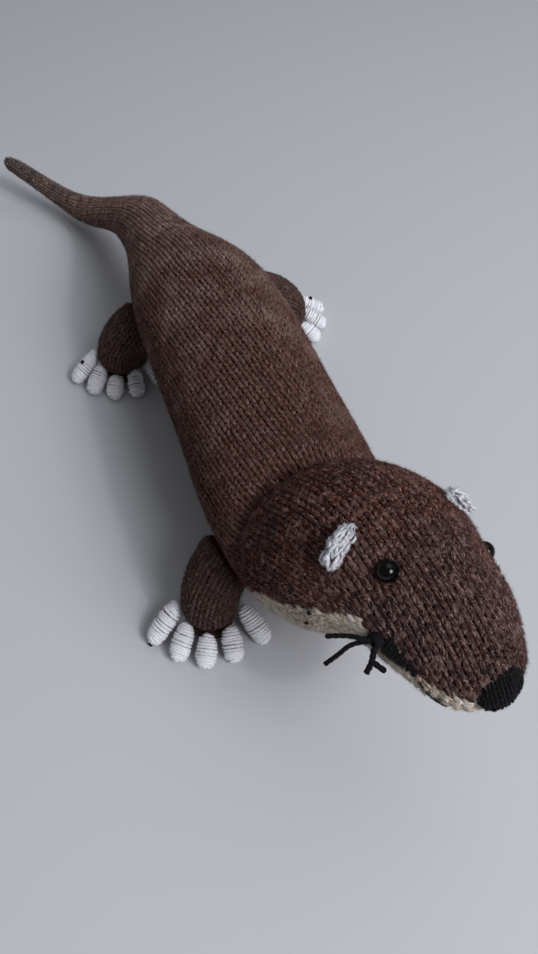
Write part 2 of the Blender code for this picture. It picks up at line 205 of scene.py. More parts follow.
def mesh_object(name, verts, tris, maps=(), tones=None):
    """A smooth mesh object, none of it under the floor. maps holds (name, two numbers for each corner) for
    each UV map."""
    verts[:, 2] = np.maximum(verts[:, 2], 0)
    mesh = bpy.data.meshes.new(name)
    mesh.vertices.add(len(verts))
    mesh.vertices.foreach_set("co", np.ascontiguousarray(verts, np.float32).ravel())
    mesh.loops.add(tris.size)
    mesh.loops.foreach_set("vertex_index", np.ascontiguousarray(tris, np.int32).ravel())
    mesh.polygons.add(len(tris))
    mesh.polygons.foreach_set("loop_start", np.arange(0, tris.size, 3, dtype=np.int32))
    mesh.polygons.foreach_set("loop_total", np.full(len(tris), 3, np.int32))
    mesh.update(calc_edges=True)
    for label, corners in maps:
        layer = mesh.uv_layers.new(name=label)
        layer.data.foreach_set("uv", np.ascontiguousarray(corners, np.float32).ravel())
    if tones is not None:
        mesh.attributes.new("tone", "FLOAT", "POINT").data.foreach_set("value", tones.astype(np.float32))
    mesh.shade_smooth()
    made = bpy.data.objects.new(name, mesh)
    bpy.context.scene.collection.objects.link(made)
    return made


def placed(piece, finish, slot, *nodes):
    """Gives a piece its material, body and the CAD nodes that it stands for. Its slot is not used."""
    piece.data.materials.clear()
    piece.data.materials.append(finish)
    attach(piece, "root")
    if nodes:
        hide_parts(*nodes)


# Materials

def linear(hex_colour):
    """Linear RGBA of an sRGB hex colour."""
    found = []
    for i in (1, 3, 5):
        c = int(hex_colour[i:i + 2], 16) / 255
        found.append(c / 12.92 if c <= 0.04045 else ((c + 0.055) / 1.055) ** 2.4)
    return (*found, 1.0)


def add(tree, kind, settings=None, inputs=None, output=0):
    """Adds a node with its settings, and its inputs as values or as the sockets that they are linked to."""
    made = tree.nodes.new("ShaderNode" + kind)
    for name, value in (settings or {}).items():
        setattr(made, name, value)
    for name, value in (inputs or {}).items():
        if isinstance(value, bpy.types.NodeSocket):
            tree.links.new(value, made.inputs[name])
        else:
            made.inputs[name].default_value = value
    return made.outputs[output]


def finish_of(name, roughness, **more):
    """A new material, its nodes and its shader. more holds the shader's other constant inputs."""
    made = bpy.data.materials.new(name)
    made.use_nodes = True
    shader = made.node_tree.nodes["Principled BSDF"]
    shader.inputs["Roughness"].default_value = roughness
    for label, value in more.items():
        shader.inputs[label.replace("_", " ")].default_value = value
    return made, made.node_tree, shader


MIX = {"data_type": "RGBA"}


def tinted(tree, colour, other, by, low, high, most=1.0):
    """A colour turned to another, up to this share, as the values of a map go from low to high."""
    share = add(tree, "MapRange", None, {0: by, 1: low, 2: high, 3: 0.0, 4: most})
    return add(tree, "Mix", MIX, {0: share, 6: colour, 7: linear(other)}, 2)


def fibres(tree, along, across, rough):
    """How light the fibres are, 0 to 1: streaks that run round the strand with the yarn's twist, this many
    along one place of its map and across it."""
    run = add(tree, "UVMap", {"uv_map": "Yarn"})
    tone = add(tree, "Attribute", {"attribute_name": "tone"}, output=2)
    shift = add(tree, "Math", {"operation": "MULTIPLY"}, {0: tone, 1: 37.0})
    shift = add(tree, "CombineXYZ", None, {0: shift})
    place = add(tree, "VectorMath", {"operation": "ADD"}, {0: run, 1: shift})
    twisted = add(tree, "Mapping", None,
                  {"Vector": place, "Rotation": (0, 0, 0.6), "Scale": (along, across, 1)})
    return add(tree, "TexNoise", None, {"Vector": twisted, "Scale": 1.0, "Detail": 3.0, "Roughness": rough})


def wool(name, base, warm, cool, deep, fleck, flecked, darkest, cool_from=None):
    """Carded wool yarn, spun from mixed fibres: each strand is a blend, so it shows flecks of lighter and
    darker fibre along its twist, and patches of stitches lean warm or cool. cool_from is where along Y it
    turns from warm to base."""
    made, tree, shader = finish_of(name, 0.95, Sheen_Weight=0.18, Sheen_Roughness=0.5,
                                   Sheen_Tint=linear(fleck), Specular_IOR_Level=0.15)
    where = add(tree, "TexCoord", output=3)
    tone = add(tree, "Attribute", {"attribute_name": "tone"}, output=2)
    patches = add(tree, "TexNoise", None, {"Vector": where, "Scale": 1 / 0.018, "Detail": 3.0})
    small = add(tree, "TexNoise", None, {"Vector": where, "Scale": 1 / 0.0045, "Detail": 2.0})
    streak = fibres(tree, 2.2, 7.0, 0.6)
    curls = fibres(tree, 5.5, 12.0, 0.75)
    share = add(tree, "MapRange", None, {0: patches, 1: 0.32, 2: 0.68})
    if cool_from:
        along = add(tree, "SeparateXYZ", None, {0: where}, 1)
        along = add(tree, "MapRange", None, {0: along, 1: cool_from[0], 2: cool_from[1], 3: -0.7, 4: 0.7})
        share = add(tree, "Math", {"operation": "ADD", "use_clamp": True}, {0: share, 1: along})
    colour = add(tree, "Mix", MIX, {0: share, 6: linear(base), 7: linear(warm)}, 2)
    colour = tinted(tree, colour, cool, small, 0.50, 0.66)
    colour = tinted(tree, colour, deep, tone, 0.0, 1.0, darkest)
    colour = tinted(tree, colour, deep, streak, 0.50, 0.34, 0.8)
    colour = tinted(tree, colour, fleck, streak, 0.54, 0.68, flecked)
    colour = tinted(tree, colour, fleck, curls, 0.53, 0.61, flecked)
    colour = tinted(tree, colour, deep, curls, 0.48, 0.39, darkest)
    tree.links.new(colour, shader.inputs["Base Color"])
    bump = add(tree, "Bump", None, {"Strength": 0.8, "Distance": 0.0003, "Height": streak})
    bump = add(tree, "Bump", None, {"Strength": 0.9, "Distance": 0.0004, "Height": curls, "Normal": bump})
    tree.links.new(bump, shader.inputs["Normal"])
    return made


def smooth_yarn(name, light, dark, roughness, sheen, gloss):
    """Spun acrylic yarn: one colour, sleeker than wool, with a fine twist that catches the light."""
    made, tree, shader = finish_of(name, roughness, Sheen_Weight=sheen, Sheen_Roughness=0.35,
                                   Specular_IOR_Level=gloss)
    streak = fibres(tree, 6.6, 10.5, 0.6)
    # The yarn is one colour: the light and dark streaks along its twist are painted highlight and shade,
    # together with the bump that the same streaks give.
    tree.links.new(tinted(tree, linear(dark), light, streak, 0.35, 0.62), shader.inputs["Base Color"])
    bump = add(tree, "Bump", None, {"Strength": 0.7, "Distance": 0.00025, "Height": streak})
    tree.links.new(bump, shader.inputs["Normal"])
    return made


def felt(name, light, dark):
    """The felted stuffing behind the stitches: matt, and it shows only as shade in the gaps."""
    made, tree, shader = finish_of(name, 1.0, Specular_IOR_Level=0.1)
    where = add(tree, "TexCoord", output=3)
    mat = add(tree, "TexNoise", None, {"Vector": where, "Scale": 1 / 0.0009, "Detail": 3.0})
    tree.links.new(tinted(tree, linear(dark), light, mat, 0.35, 0.65), shader.inputs["Base Color"])
    bump = add(tree, "Bump", None, {"Strength": 0.6, "Distance": 0.0003, "Height": mat})
    tree.links.new(bump, shader.inputs["Normal"])
    return made


TRUNK_WOOL = wool("carded_brown_wool", "#937C72", "#573026", "#614843", "#2A1916", "#AB8D85", 0.42, 0.5,
                  (0.12, -0.09))
HEAD_WOOL = wool("carded_plum_brown_wool", "#452D2B", "#5E2C1F", "#4A302D", "#100807", "#B7968F", 0.56, 0.7,
                 (-0.210, -0.165))
TIP_WOOL = wool("carded_grey_brown_wool", "#544F4F", "#79665E", "#594A43", "#221715", "#A0908C", 0.42, 0.5,
                (0.240, 0.196))
# The legs' and palms' wool is a darker brown than the trunk's: painted shade, for legs that stand in the
# shadow under the body.
SHADED_LEG_WOOL = wool("carded_brown_wool_with_painted_shade", "#4F3833", "#5B3A2D", "#4C3E3F", "#140B0A", "#8C7771", 0.5, 0.55)
CREAM_WOOL = wool("carded_cream_wool", "#E0D4C4", "#E4D3BC", "#D6D1CB", "#6B5344", "#F7F1E8", 0.7, 0.35)
WOOLS = {"head": HEAD_WOOL, "throat": CREAM_WOOL, "muzzle": HEAD_WOOL, "chin": CREAM_WOOL, "leg": SHADED_LEG_WOOL,
         **{name: TRUNK_WOOL for name in TRUNK_NODES}, "tail_tip": TIP_WOOL}
LINING = felt("felted_brown_lining", "#40291F", "#2A1914")
GREY_YARN = smooth_yarn("silver_grey_acrylic_yarn", "#F7F7FA", "#CDCCD2", 0.45, 0.35, 0.5)
EAR_YARN = smooth_yarn("brushed_grey_yarn", "#E6E6EA", "#A09FA6", 0.7, 0.3, 0.2)
GREY_CORE = felt("felted_grey_stuffing", "#8E8D93", "#6C6B70")
BLACK_YARN = smooth_yarn("black_acrylic_yarn", "#0C0D10", "#040406", 0.75, 0.06, 0.15)
BLACK_CORE = felt("felted_black_stuffing", "#0B0B0D", "#050506")


# Moulded black bead, tumbled to a polish: it mirrors the window in small sharp points
BEAD = finish_of("polished_black_bead", 0.05, IOR=1.5, Base_Color=linear("#040404"),
                 Specular_IOR_Level=0.25)[0]


# Surfaces to knit on

def closed_ends(line, start=0, end=0, steps=9):
    """Stations along a line: middles, ways along it, and how far the rays lean along it in radians. They
    swing back at its start and on at its end by these angles, in degrees."""
    ways = unit(np.gradient(line, axis=0))
    lean = np.zeros(len(line))
    swing = np.arange(1, steps + 1) / steps
    if start:
        line = np.concatenate((np.repeat(line[:1], steps, 0), line))
        ways = np.concatenate((np.repeat(ways[:1], steps, 0), ways))
        lean = np.concatenate((-math.radians(start) * swing[::-1], lean))
    if end:
        line = np.concatenate((line, np.repeat(line[-1:], steps, 0)))
        ways = np.concatenate((ways, np.repeat(ways[-1:], steps, 0)))
        lean = np.concatenate((lean, math.radians(end) * swing))
    return line, ways, lean


def evenly_round(rings):
    """The same rings with their points evenly spaced round them, and each ring's top point in its place."""
    top = ANGLES // 4
    made = np.empty_like(rings)
    for i, ring in enumerate(np.roll(rings, -top, 1)):
        ring = np.concatenate((ring, ring[:1]))
        along = np.concatenate(([0], np.cumsum(np.linalg.norm(np.diff(ring, axis=0), axis=1))))
        wanted = along[-1] * np.arange(ANGLES) / ANGLES
        made[i] = np.stack([np.interp(wanted, along, ring[:, k]) for k in range(3)], 1)
    return np.roll(made, top, 1)


class Surface:
    """A tube round a line of middles: grid holds its point at each station and angle."""

    def __init__(self, stations, tree, reach=0.08, inwards=False, grow=0.0):
        self.middles, tangents, lean = stations
        upright = abs(tangents @ UP).mean() > 0.75
        side = unit(np.cross(tangents, AHEAD if upright else UP))
        rise = np.cross(side, tangents)
        turns = np.arange(ANGLES) * 2 * math.pi / ANGLES
        ways = side[:, None] * np.cos(turns)[None, :, None] + rise[:, None] * np.sin(turns)[None, :, None]
        ways = ways * np.cos(lean)[:, None, None] + (tangents * np.sin(lean)[:, None])[:, None]
        out = np.full((len(self.middles), ANGLES), np.nan)
        for i, middle in enumerate(self.middles):
            for m in range(ANGLES):
                way = Vector(ways[i, m])
                start = Vector(middle) + way * (reach if inwards else 0)
                hit = tree.ray_cast(start, -way if inwards else way, reach)
                if hit[0] is not None:
                    out[i, m] = reach - hit[3] if inwards else hit[3]
        count = np.arange(len(self.middles))
        for m in range(ANGLES):
            known = ~np.isnan(out[:, m])
            out[:, m] = np.interp(count, count[known], out[known, m]) if known.any() else 0.0
        out = blurred(blurred(out, FACET_BLUR[0], 1, wrap=True), FACET_BLUR[1])
        self.grid = evenly_round(self.middles[:, None] + ways * np.maximum(out + grow, 1e-5)[..., None])
        around = np.roll(self.grid, -1, 1) - np.roll(self.grid, 1, 1)
        normals = unit(np.cross(np.gradient(self.grid, axis=0), around))
        inward = (normals * ways).sum(-1).mean() < 0
        self.normals = -normals if inward else normals
        ring = np.concatenate((self.grid, self.grid[:, :1]), 1)
        self.girth = np.linalg.norm(np.diff(ring, axis=1), axis=-1).sum(1)
        steps = np.linalg.norm(np.diff(self.grid, axis=0), axis=-1).mean(1)
        self.profile = np.concatenate(([0], np.cumsum(steps)))

    def stations_at(self, profile):
        """The station, as a fraction, at each distance along the tube's outline."""
        return np.interp(profile, self.profile, np.arange(len(self.middles)))

    def sample(self, station, turn):
        """Points and outward normals at these stations and turns round, both as fractions."""
        station = np.clip(station, 0, len(self.grid) - 1.001)
        angle = turn % 1 * ANGLES
        i, m = station.astype(int), angle.astype(int) % ANGLES
        fi, fm = (station - i)[..., None], (angle - angle.astype(int))[..., None]
        n = (m + 1) % ANGLES
        found = []
        for table in (self.grid, self.normals):
            near = table[i, m] * (1 - fm) + table[i, n] * fm
            far = table[i + 1, m] * (1 - fm) + table[i + 1, n] * fm
            found.append(near * (1 - fi) + far * fi)
        return found[0], unit(found[1])


def middle_line(verts):
    """The line through the middles of a body's slices along Y, from the tail to the nose."""
    levels = np.arange(verts[:, 1].max() - 1 * MM, verts[:, 1].min(), -2 * MM)
    middles = [verts[np.abs(verts[:, 1] - level) < 4 * MM].mean(0) for level in levels]
    middles = resampled(np.array(middles), STATION)
    return blurred(middles, 7.0)


def straight_line(middle, way, back, ahead):
    """Middles along a straight axis, from this far behind its middle to this far ahead."""
    along = np.arange(-back, ahead, STATION)
    return middle + along[:, None] * way


def height_over(points, tree):
    """How far each point stands out of a closed surface, less than nothing inside it."""
    found = []
    for point in points:
        where, normal, _, _ = tree.find_nearest(Vector(point))
        found.append((Vector(point) - where).dot(normal))
    return np.array(found)


# Dents

class Dents:
    """Places where the knit is drawn in, such as round an eye or along a seam."""

    def __init__(self):
        self.spots = []
        self.creases = []

    def settle(self, points, normals):
        moved = points.copy()
        for middle, reach, depth in self.spots:
            away = ((points - middle) ** 2).sum(-1)
            moved = moved - normals * (depth * np.exp(-away / reach ** 2))[..., None]
        for middle, across, reach, depth, fade in self.creases:
            strength = depth * np.exp(-((points - middle) @ across / reach) ** 2)
            low, high = fade
            strength = strength * np.clip((points[..., 2] - low) / (high - low), 0, 1)
            moved = moved - normals * strength[..., None]
        return moved


def joint_plane(first, second):
    """Middle and normal of the cut between two CAD nodes."""
    verts, _ = node_mesh(first)
    other = tree_of(*node_mesh(second))
    near = []
    for point in verts:
        if other.find_nearest(Vector(point))[3] < 0.5 * MM:
            near.append(point)
    near = np.array(near)
    middle = near.mean(0)
    normal = np.linalg.svd(near - middle)[2][2]
    return middle, normal


# Stitches

def strand_faces(rings, sides):
    """Triangles of one closed strand with this many rings between its two tips, and each corner's place
    along it and round it."""
    tris, places = [], []
    last = rings * sides + 1

    def vert(ring, side):
        return 1 + ring * sides + side % sides

    for s in range(sides):
        tris.append((0, vert(0, s + 1), vert(0, s)))
        places.append(((0, s + 0.5), (1, s + 1), (1, s)))
        for r in range(rings - 1):
            a, b, c, d = vert(r, s), vert(r, s + 1), vert(r + 1, s + 1), vert(r + 1, s)
            tris += [(a, b, c), (a, c, d)]
            places.append(((r + 1, s), (r + 1, s + 1), (r + 2, s + 1)))
            places.append(((r + 1, s), (r + 2, s + 1), (r + 2, s)))
        tris.append((vert(rings - 1, s), vert(rings - 1, s + 1), last))
        places.append(((rings, s), (rings, s + 1), (rings + 1, s + 0.5)))
    places = np.array(places, float) / (rings + 1, sides)
    return np.array(tris), places


def strands(paths, normals, wide, thick):
    """Vertices of closed strands: paths is (strand, point, xyz), and the first and last points are tips."""
    ways = unit(np.gradient(paths, axis=1))
    across = unit(np.cross(ways, normals))
    out = np.cross(across, ways)
    turns = np.arange(SIDES) * 2 * math.pi / SIDES - math.pi / 2
    ring = (across[:, 1:-1, None] * (np.cos(turns)[:, None] * wide[:, 1:-1, None, None])
            + out[:, 1:-1, None] * (np.sin(turns)[:, None] * thick[:, 1:-1, None, None]))
    body = (paths[:, 1:-1, None] + ring).reshape(len(paths), -1, 3)
    return np.concatenate((paths[:, :1], body, paths[:, -1:]), axis=1)


PATCH = 0.003              # across one stitch's patch on the bake's map


class Stitches:
    """The legs of the knitted stitches of one surface, as paths ready to be made into strands."""

    def __init__(self, surface, dents, seed, stitch=BODY_STITCH, uneven=1.0, spiral=0.0):
        rng = np.random.default_rng(seed)
        wale, course = stitch
        self.scale = wale / WALE
        rows = int(surface.profile[-1] / course)
        stations = surface.stations_at(np.arange(rows + 1) * course)
        count = np.arange(len(surface.girth))
        girth = np.interp(stations, count, blurred(surface.girth, 2.0))
        wanted = np.maximum(girth / wale, 5)
        most = int(wanted.max()) + 2
        around = np.arange(most) / most
        away = [np.abs((around - kept + 0.5) % 1 - 0.5) / reach
                for kept, reach in zip(KEPT_COLUMNS, KEPT_REACH)]
        order = np.argsort(np.argsort(np.min(away, axis=0)))
        weight = np.clip((wanted[:, None] - order[None]) * 0.5 + 0.5, 1e-4, 1)
        share = weight / weight.sum(1, keepdims=True)
        middle = np.cumsum(share, 1) - share / 2
        middle += KEPT_COLUMNS[0] - middle[:, [order.argmin()]]
        past = np.maximum(np.arange(rows + 1)[:, None] * course - SPIRAL_FROM[0], 0)
        ease = SPIRAL_FROM[1]
        middle += spiral * np.where(past < ease, past ** 2 / ease / 2, past - ease / 2)
        row, column = np.nonzero(weight[:-1] > 0.3)
        number = len(row)
        slack = rng.normal(0, 0.03, (number, 1)) * uneven
        found = []
        for side in (-1, 1):
            stretch = 1 + rng.normal(0, 0.05, (number, 1)) * uneven
            height = row[:, None] + np.array(LEG_ALONG) * stretch + rng.normal(0, 0.04, (number, 1)) * uneven
            height = np.clip(height, 0, rows - 0.001)
            low = height.astype(int)
            part = height - low
            which = np.repeat(column[:, None], len(LEG_ALONG), 1)
            centre = middle[low, which] * (1 - part) + middle[low + 1, which] * part
            width = share[low, which] * (1 - part) + share[low + 1, which] * part
            turn = centre + (side * np.array(LEG_ACROSS) + slack) * width
            anchors, out = surface.sample(np.interp(height, np.arange(rows + 1), stations), turn)
            lift = rng.normal(0, 0.08, (number, 1)) * MM * uneven
            deep = (np.array(LEG_DEPTH) * MM * self.scale - lift)[..., None]
            points = dents.settle(anchors, out) - out * deep
            room = np.clip(share[row, column] * girth[row] / wale, 0.45, 1.15)
            size = (room + rng.normal(0, 0.05, number)) * self.scale
            root = np.stack((turn[:, 2] % 1, height[:, 2] / rows), 1)
            found.append((points, out, anchors[:, 2:4].mean(1), root, rng.random(number), size))
        self.parts = [np.concatenate(both) for both in zip(*found)]
        self.rng = rng

    @property
    def anchors(self):
        return self.parts[2]

    def pick(self, chosen):
        """The same stitches, only where chosen."""
        made = object.__new__(Stitches)
        made.parts = [part[chosen] for part in self.parts]
        made.rng, made.scale = self.rng, self.scale
        return made


def bake_map(roots, places, each):
    """The bake's map: each strand's patch at its root's place on the unwrapped tube."""
    low = 0.004 + roots * (0.992 - PATCH)
    patch = places[None, ..., ::-1] * PATCH
    return (low[:, None, None] + np.broadcast_to(patch, (len(roots), each, 3, 2))).reshape(-1, 2)


def knitted(name, stitches, finish, slot, nodes=()):
    """The strands of these stitches as one piece."""
    paths, normals, _, roots, tones, size = stitches.parts
    wide = np.array(LEG_WIDE)[None] * MM * size[:, None]
    thick = np.array(LEG_THICK)[None] * MM * size[:, None]
    verts = strands(paths, normals, wide, thick)
    faces, places = strand_faces(len(LEG_WIDE) - 2, SIDES)
    tris = (faces[None] + np.arange(len(paths))[:, None, None] * verts.shape[1]).reshape(-1, 3)
    bake = bake_map(roots, places, len(faces))
    run = np.broadcast_to(places[None], (len(paths), *places.shape)).reshape(-1, 2)
    piece = mesh_object(name, verts.reshape(-1, 3), tris, [("OFBake", bake), ("Yarn", run)],
                        np.repeat(tones, verts.shape[1]))
    placed(piece, finish, slot, *nodes)


# Loose fibres: how far in radians they turn off the yarn's way, how much they stand up on average and how
# much that varies, and in mm half their width, how far over the yarn's middle they start, how far to either
# side of it, and how far their roots reach down and up
FUZZ_TURN = 1.2
FUZZ_STAND = (0.25, 0.40)
FUZZ_WIDE, FUZZ_OVER, FUZZ_ASIDE, FUZZ_ROOT = 0.055, 0.5, 0.5, (0.05, 0.08)
SPIKE = np.array(((0, 2, 1), (0, 1, 3), (1, 2, 3), (2, 0, 3)))
SPIKE_PLACES = np.array(((0, 0), (1, 0), (0.5, 0.4)))


def fuzz(name, stitches, finish, slot, per_stitch, longest=2.6 * MM):
    """Loose wool fibres: thin closed spikes that stand out of the strands and lie roughly along them."""
    rng = stitches.rng
    paths, normals, _, roots, tones, _ = stitches.parts
    count = int(len(paths) / 2 * per_stitch)
    pick = rng.integers(0, len(paths), count)
    share = rng.random((count, 1))
    out = normals[pick, 2]
    base = paths[pick, 2] * (1 - share) + paths[pick, 3] * share
    way = unit(paths[pick, 3] - paths[pick, 2])
    across = np.cross(way, out)
    spread = rng.normal(0, FUZZ_TURN, (count, 1))
    heading = (way * np.cos(spread) + across * np.sin(spread)) * rng.choice((-1, 1), (count, 1))
    heading = unit(heading + out * np.abs(rng.normal(*FUZZ_STAND, (count, 1))))
    length = longest * (0.35 + 0.65 * rng.random((count, 1)))
    side = unit(np.cross(heading, out)) * FUZZ_WIDE * MM
    aside = rng.uniform(-FUZZ_ASIDE, FUZZ_ASIDE, (count, 1))
    start = base + out * FUZZ_OVER * MM * stitches.scale + across * aside * MM
    low = start - out * FUZZ_ROOT[0] * MM
    verts = np.stack((low + side, low - side, low + out * FUZZ_ROOT[1] * MM, start + heading * length), 1)
    tris = (SPIKE[None] + np.arange(count)[:, None, None] * 4).reshape(-1, 3)
    places = np.repeat(SPIKE_PLACES[None], len(SPIKE), 0)
    bake = bake_map(roots[pick], places, len(SPIKE))
    # In the wools each fibre takes only part of its stitch's dark tone, so the fibres are lighter than the
    # strands: painted highlight for the light that loose fibres catch.
    piece = mesh_object(name, verts.reshape(-1, 3), tris, [("OFBake", bake), ("Yarn", bake)],
                        np.repeat(tones[pick] * 0.6, 4))
    placed(piece, finish, slot)


# Yarn that is wound, laid or hangs

YARN_SIDES = 8
YARN_LOBES = (0.78, 0.26)  # a two-ply yarn's least radius, and how far each ply swells it, as shares of it
WIND_STEP = 1.1 * MM       # between a wound yarn's points
WIND_SWAY = 0.16           # how far a turn strays along the winding, as a share of the space between turns
WIND_SINK = (0.95, 0.12)   # how deep the yarn's middle lies, in its radius, and how much that varies
SLUB = 0.16                # how much a toe's yarn varies in thickness


def flowing(points):
    """A smooth line from the first of these points to the last, drawn towards those between."""
    points = np.array(points, float)
    ends = [points[0], *[(a + b) / 2 for a, b in zip(points[1:-2], points[2:-1])], points[-1]]
    line = []
    for start, pull, end in zip(ends, points[1:-1], ends[1:]):
        t = np.linspace(0, 1, 8, endpoint=False)[:, None]
        line.append(start * (1 - t) ** 2 + pull * 2 * t * (1 - t) + end * t ** 2)
    return np.concatenate([*line, points[-1:]])


def yarn(name, lines, radius, ply, finish, slot, nodes=()):
    """Two-ply yarn along each line of (points, normals): a closed strand whose outline turns as it goes.
    radius is one number, or a list of one for each line: a number, or a column of one for each point."""
    verts, tris, runs, tones, count = [], [], [], [], 0
    for i, (points, normals) in enumerate(lines):
        ways = unit(np.gradient(points, axis=0))
        across = unit(np.cross(ways, normals))
        out = np.cross(across, ways)
        steps = np.linalg.norm(np.diff(points, axis=0), axis=1)
        along = np.concatenate(([0], np.cumsum(steps)))
        turns = np.arange(YARN_SIDES) * 2 * math.pi / YARN_SIDES - math.pi / 2
        twist = turns[None] - (math.pi * along / ply)[:, None] + i
        lobes = YARN_LOBES[0] + YARN_LOBES[1] * np.abs(np.cos(twist))
        size = lobes * (radius[i] if isinstance(radius, list) else radius)
        ring = (across[:, None] * (np.cos(turns) * size)[..., None]
                + out[:, None] * (np.sin(turns) * size)[..., None])
        tips = points[[0, -1]] + ways[[0, -1]] * np.array([[-0.5], [0.5]]) * size.mean()
        verts.append(np.concatenate((tips[:1], (points[:, None] + ring).reshape(-1, 3), tips[1:])))
        faces, places = strand_faces(len(points), YARN_SIDES)
        tris.append(faces + count)
        runs.append((places * (along[-1] / ply, 1)).reshape(-1, 2))
        tones.append(np.full(len(verts[-1]), (i * 0.37) % 1))
        count += len(verts[-1])
    maps = [("Yarn", np.concatenate(runs))]
    piece = mesh_object(name, np.concatenate(verts), np.concatenate(tris), maps, np.concatenate(tones))
    placed(piece, finish, slot, *nodes)


def wound_line(surface, pitch, radius, seed):
    """The line of a yarn wound round and round a surface, from its first station to its last."""
    rng = np.random.default_rng(seed)
    turns = surface.profile[-1] / pitch
    girth = surface.girth.mean()
    t = np.linspace(0, turns, int(turns * girth / WIND_STEP))
    sway = np.interp(t, np.arange(int(turns) + 2), rng.normal(0, WIND_SWAY, int(turns) + 2))
    profile = np.clip((t + sway) * pitch, 0, surface.profile[-1])
    points, normals = surface.sample(surface.stations_at(profile), t)
    uneven = np.interp(t * 3, np.arange(int(turns * 3) + 2), rng.normal(0, 1, int(turns * 3) + 2))
    sink = radius * (WIND_SINK[0] + WIND_SINK[1] * uneven)
    return points - normals * sink[:, None], normals


def long_axis(verts):
    """Middle and direction of the longest way through these points."""
    middle = verts.mean(0)
    return middle, np.linalg.svd(verts - middle, full_matrices=False)[2][0]


# Stage, light and camera

def floor():
    """A plain pale floor: matt paint, with nothing on it."""
    bpy.ops.mesh.primitive_plane_add(size=12.0, location=(0, 0, 0))
    made = bpy.context.object
    made.name = "floor"
    made.data.materials.append(finish_of("matt_pale_floor_paint", 0.9, Base_Color=linear("#BFC0C3"))[0])


def area_light(name, place, target, size, power, colour):
    data = bpy.data.lights.new(name, "AREA")
    data.shape = "RECTANGLE"
    data.size, data.size_y = size
    data.energy = power
    data.color = linear(colour)[:3]
    made = bpy.data.objects.new(name, data)
    made.location = place
    made.rotation_euler = (Vector(target) - Vector(place)).to_track_quat("-Z", "Y").to_euler()
    bpy.context.scene.collection.objects.link(made)


def lights():
    """Soft daylight from a window in front of the otter on its left and from over it, in a pale room."""
    area_light("window", (0.62, -1.24, 1.22), (0, -0.05, 0.05), (0.9, 0.8), 27, "#F8F9FF")
    area_light("skylight", (0.7, 0.3, 1.8), (0, -0.05, 0.05), (1.6, 1.6), 7, "#F2F4FF")
    area_light("gap_in_blind", (0.55, -1.1, 1.2), (0, -0.15, 0.05), (0.07, 0.09), 3, "#FFFFFF")
    world = bpy.data.worlds.new("pale_room")
    world.use_nodes = True
    background = world.node_tree.nodes["Background"]
    background.inputs["Color"].default_value = linear("#DDE0E4")
    background.inputs["Strength"].default_value = 0.22
    bpy.context.scene.world = world


def camera():
    low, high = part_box("palm_front_right")
    middle = (low + high) / 2
    data = bpy.data.cameras.new("camera")
    data.lens = LENS
    made = bpy.data.objects.new("camera", data)
    made.location = (middle.x + CAMERA_FROM_PAW[0], middle.y + CAMERA_FROM_PAW[1], CAMERA_HEIGHT)
    made.rotation_euler = (math.radians(90 - CAMERA_DOWN), 0, -math.radians(CAMERA_HEADING))
    bpy.context.scene.collection.objects.link(made)
    bpy.context.scene.camera = made


def remeshed(name, verts, tris, voxel, rounds, sink):
    """One closed, evenly meshed skin round these solids, smoothed and drawn in by a depth."""
    source = mesh_object(name, verts, tris)
    remesh = source.modifiers.new("Even", "REMESH")
    remesh.mode = "VOXEL"
    remesh.voxel_size = voxel
    if rounds:
        soften = source.modifiers.new("Soften", "SMOOTH")
        soften.factor = 0.5
        soften.iterations = rounds
    if sink:
        inset = source.modifiers.new("Inset", "DISPLACE")
        inset.strength = -sink
        inset.mid_level = 0.0
    bpy.context.view_layer.update()
    mesh = bpy.data.meshes.new_from_object(source.evaluated_get(bpy.context.evaluated_depsgraph_get()))
    source.modifiers.clear()
    source.data = mesh
    mesh.shade_smooth()
    return source


def stretch_inside(middle, way, tree, back, ahead, margin):
    """The stretch of a straight axis that lies inside a solid, short of its ends by the margins."""
    line = straight_line(middle, way, back, ahead)
    line = line[height_over(line, tree) < 0]
    first, last = int(margin[0] / STATION), int(margin[1] / STATION)
    return line[first:len(line) - last]


